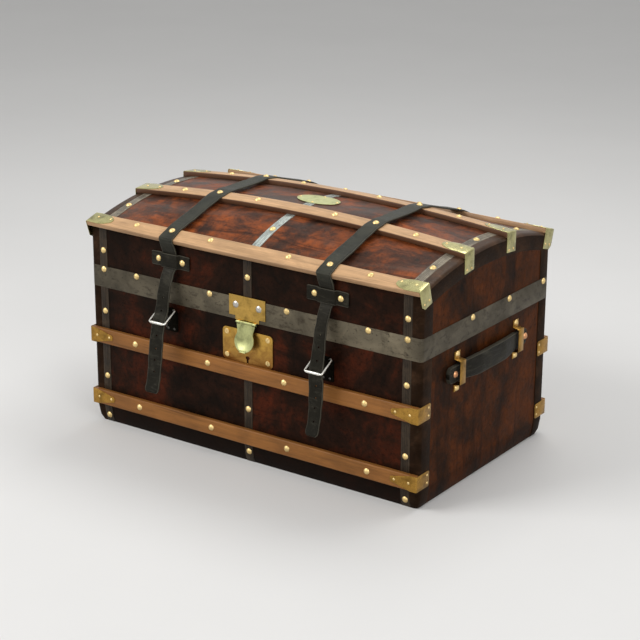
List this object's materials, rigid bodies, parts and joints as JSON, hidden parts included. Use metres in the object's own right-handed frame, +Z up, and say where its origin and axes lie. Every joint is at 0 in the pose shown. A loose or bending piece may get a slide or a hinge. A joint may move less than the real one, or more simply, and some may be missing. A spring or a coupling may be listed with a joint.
{
  "type": "domed leather trunk",
  "caption": "Domed travelling trunk in dark leather over boards, with wooden slats, brass clamps, a rim band, buckled straps, hasp lock and end handles; the lid opens.",
  "frame": {"origin": "on the floor under the middle of the case", "axes": "+X along the length, +Z up, the front with the lock faces -Y"},
  "size_m": [0.8326, 0.5589, 0.5007],
  "materials": {
    "case_leather": "polished and mottled",
    "pine": "planed",
    "lining": "pasted cloth",
    "black_leather": "worn",
    "strip": "grained strip",
    "zinc": "dull zinc",
    "iron_band": "dull patina",
    "pale_slat": "waxed",
    "front_slat": "varnished",
    "brass": "aged",
    "pale_brass": "pale and worn",
    "nail_brass": "polished heads",
    "steel": "plain",
    "nickel": "bright wire"
  },
  "bodies": {
    "case": {"base_front_board": "pine", "base_rear_board": "pine", "base_end_board_left": "pine", "base_end_board_right": "pine", "base_bottom_board": "pine", "base_leather": "case_leather", "base_lining": "lining", "base_edge_leathers": "black_leather", "base_corner_strips": "strip", "base_centre_strips": "zinc", "base_slats_front": "front_slat", "base_slats_rear": "front_slat", "base_slat_clamps": "brass", "lock_plate": "brass", "lock_case": "steel", "lock_screws": "brass", "buckle_chapes": "black_leather", "handle_loops": "brass", "hinge_leaves_base": "steel", "hinge_pins": "steel", "base_nails": "nail_brass", "base_small_nails": "nail_brass"},
    "lid": {"lid_front_board": "pine", "lid_rear_board": "pine", "lid_end_board_left": "pine", "lid_end_board_right": "pine", "lid_dome_board": "pine", "lid_leather": "case_leather", "lid_lining": "lining", "lid_band": "iron_band", "lid_slats_outer": "pale_slat", "lid_slats_crown": "pale_slat", "lid_slat_clamps": "brass", "lid_end_strips": "strip", "lid_edge_leathers": "black_leather", "lid_centre_strip": "zinc", "plaque": "pale_brass", "strap_left": "black_leather", "strap_right": "black_leather", "strap_keepers": "black_leather", "hasp_plate": "brass", "hasp_fasteners": "steel", "lid_nails": "nail_brass", "lid_small_nails": "nail_brass", "hinge_leaves_lid": "steel"},
    "hasp_leaf": {"hasp_leaf": "pale_brass"},
    "lock_bolt": {"lock_bolt": "steel"},
    "strap_end_left": {"strap_end_left": "black_leather"},
    "strap_end_right": {"strap_end_right": "black_leather"},
    "buckle_left": {"buckle_frame_left": "nickel"},
    "buckle_right": {"buckle_frame_right": "nickel"},
    "roller_left": {"buckle_roller_left": "nickel"},
    "roller_right": {"buckle_roller_right": "nickel"},
    "prong_left": {"buckle_prong_left": "nickel"},
    "prong_right": {"buckle_prong_right": "nickel"},
    "handle_left": {"handle_left": "black_leather", "handle_studs_left": "brass"},
    "handle_right": {"handle_right": "black_leather", "handle_studs_right": "brass"}
  },
  "joints": [
    {"name": "lid_hinge", "type": "hinge", "parent": "case", "child": "lid", "pos_m": [0, 0.2446, 0.299], "axis": [-1, 0, 0], "range_deg": [0, 100]},
    {"name": "hasp_hinge", "type": "hinge", "parent": "lid", "child": "hasp_leaf", "pos_m": [0, -0.2442, 0.2965], "axis": [-1, 0, 0], "range_deg": [-12, 140]},
    {"name": "lock_bolt_slide", "type": "slide", "parent": "case", "child": "lock_bolt", "axis": [1, 0, 0], "range_m": [0, 0.008]},
    {"name": "strap_end_left_hang", "type": "hinge", "parent": "lid", "child": "strap_end_left", "pos_m": [-0.1905, -0.2704, 0.293], "axis": [-1, 0, 0], "range_deg": [-100, 0]},
    {"name": "buckle_left_hinge", "type": "hinge", "parent": "case", "child": "buckle_left", "pos_m": [-0.1905, -0.254, 0.291], "axis": [-1, 0, 0], "range_deg": [0, 50]},
    {"name": "roller_left_spin", "type": "hinge", "parent": "buckle_left", "child": "roller_left", "pos_m": [-0.1905, -0.28847, 0.2707], "axis": [-1, 0, 0], "continuous": true},
    {"name": "prong_left_hinge", "type": "hinge", "parent": "case", "child": "prong_left", "pos_m": [-0.1905, -0.254, 0.291], "axis": [-1, 0, 0], "range_deg": [0, 25]},
    {"name": "strap_end_right_hang", "type": "hinge", "parent": "lid", "child": "strap_end_right", "pos_m": [0.1905, -0.2685, 0.293], "axis": [-1, 0, 0], "range_deg": [-100, 0]},
    {"name": "buckle_right_hinge", "type": "hinge", "parent": "case", "child": "buckle_right", "pos_m": [0.1905, -0.254, 0.269], "axis": [-1, 0, 0], "range_deg": [0, 50]},
    {"name": "roller_right_spin", "type": "hinge", "parent": "buckle_right", "child": "roller_right", "pos_m": [0.1905, -0.28847, 0.2487], "axis": [-1, 0, 0], "continuous": true},
    {"name": "prong_right_hinge", "type": "hinge", "parent": "case", "child": "prong_right", "pos_m": [0.1905, -0.254, 0.269], "axis": [-1, 0, 0], "range_deg": [0, 25]},
    {"name": "handle_left_slide", "type": "slide", "parent": "case", "child": "handle_left", "axis": [0, -1, 0], "range_m": [0, 0.009]},
    {"name": "handle_right_slide", "type": "slide", "parent": "case", "child": "handle_right", "axis": [0, -1, 0], "range_m": [0, 0.009]}
  ],
  "couplings": [
    {"joint": "strap_end_left_hang", "follows": "lid_hinge", "ratio": -1},
    {"joint": "strap_end_right_hang", "follows": "lid_hinge", "ratio": -1}
  ]
}
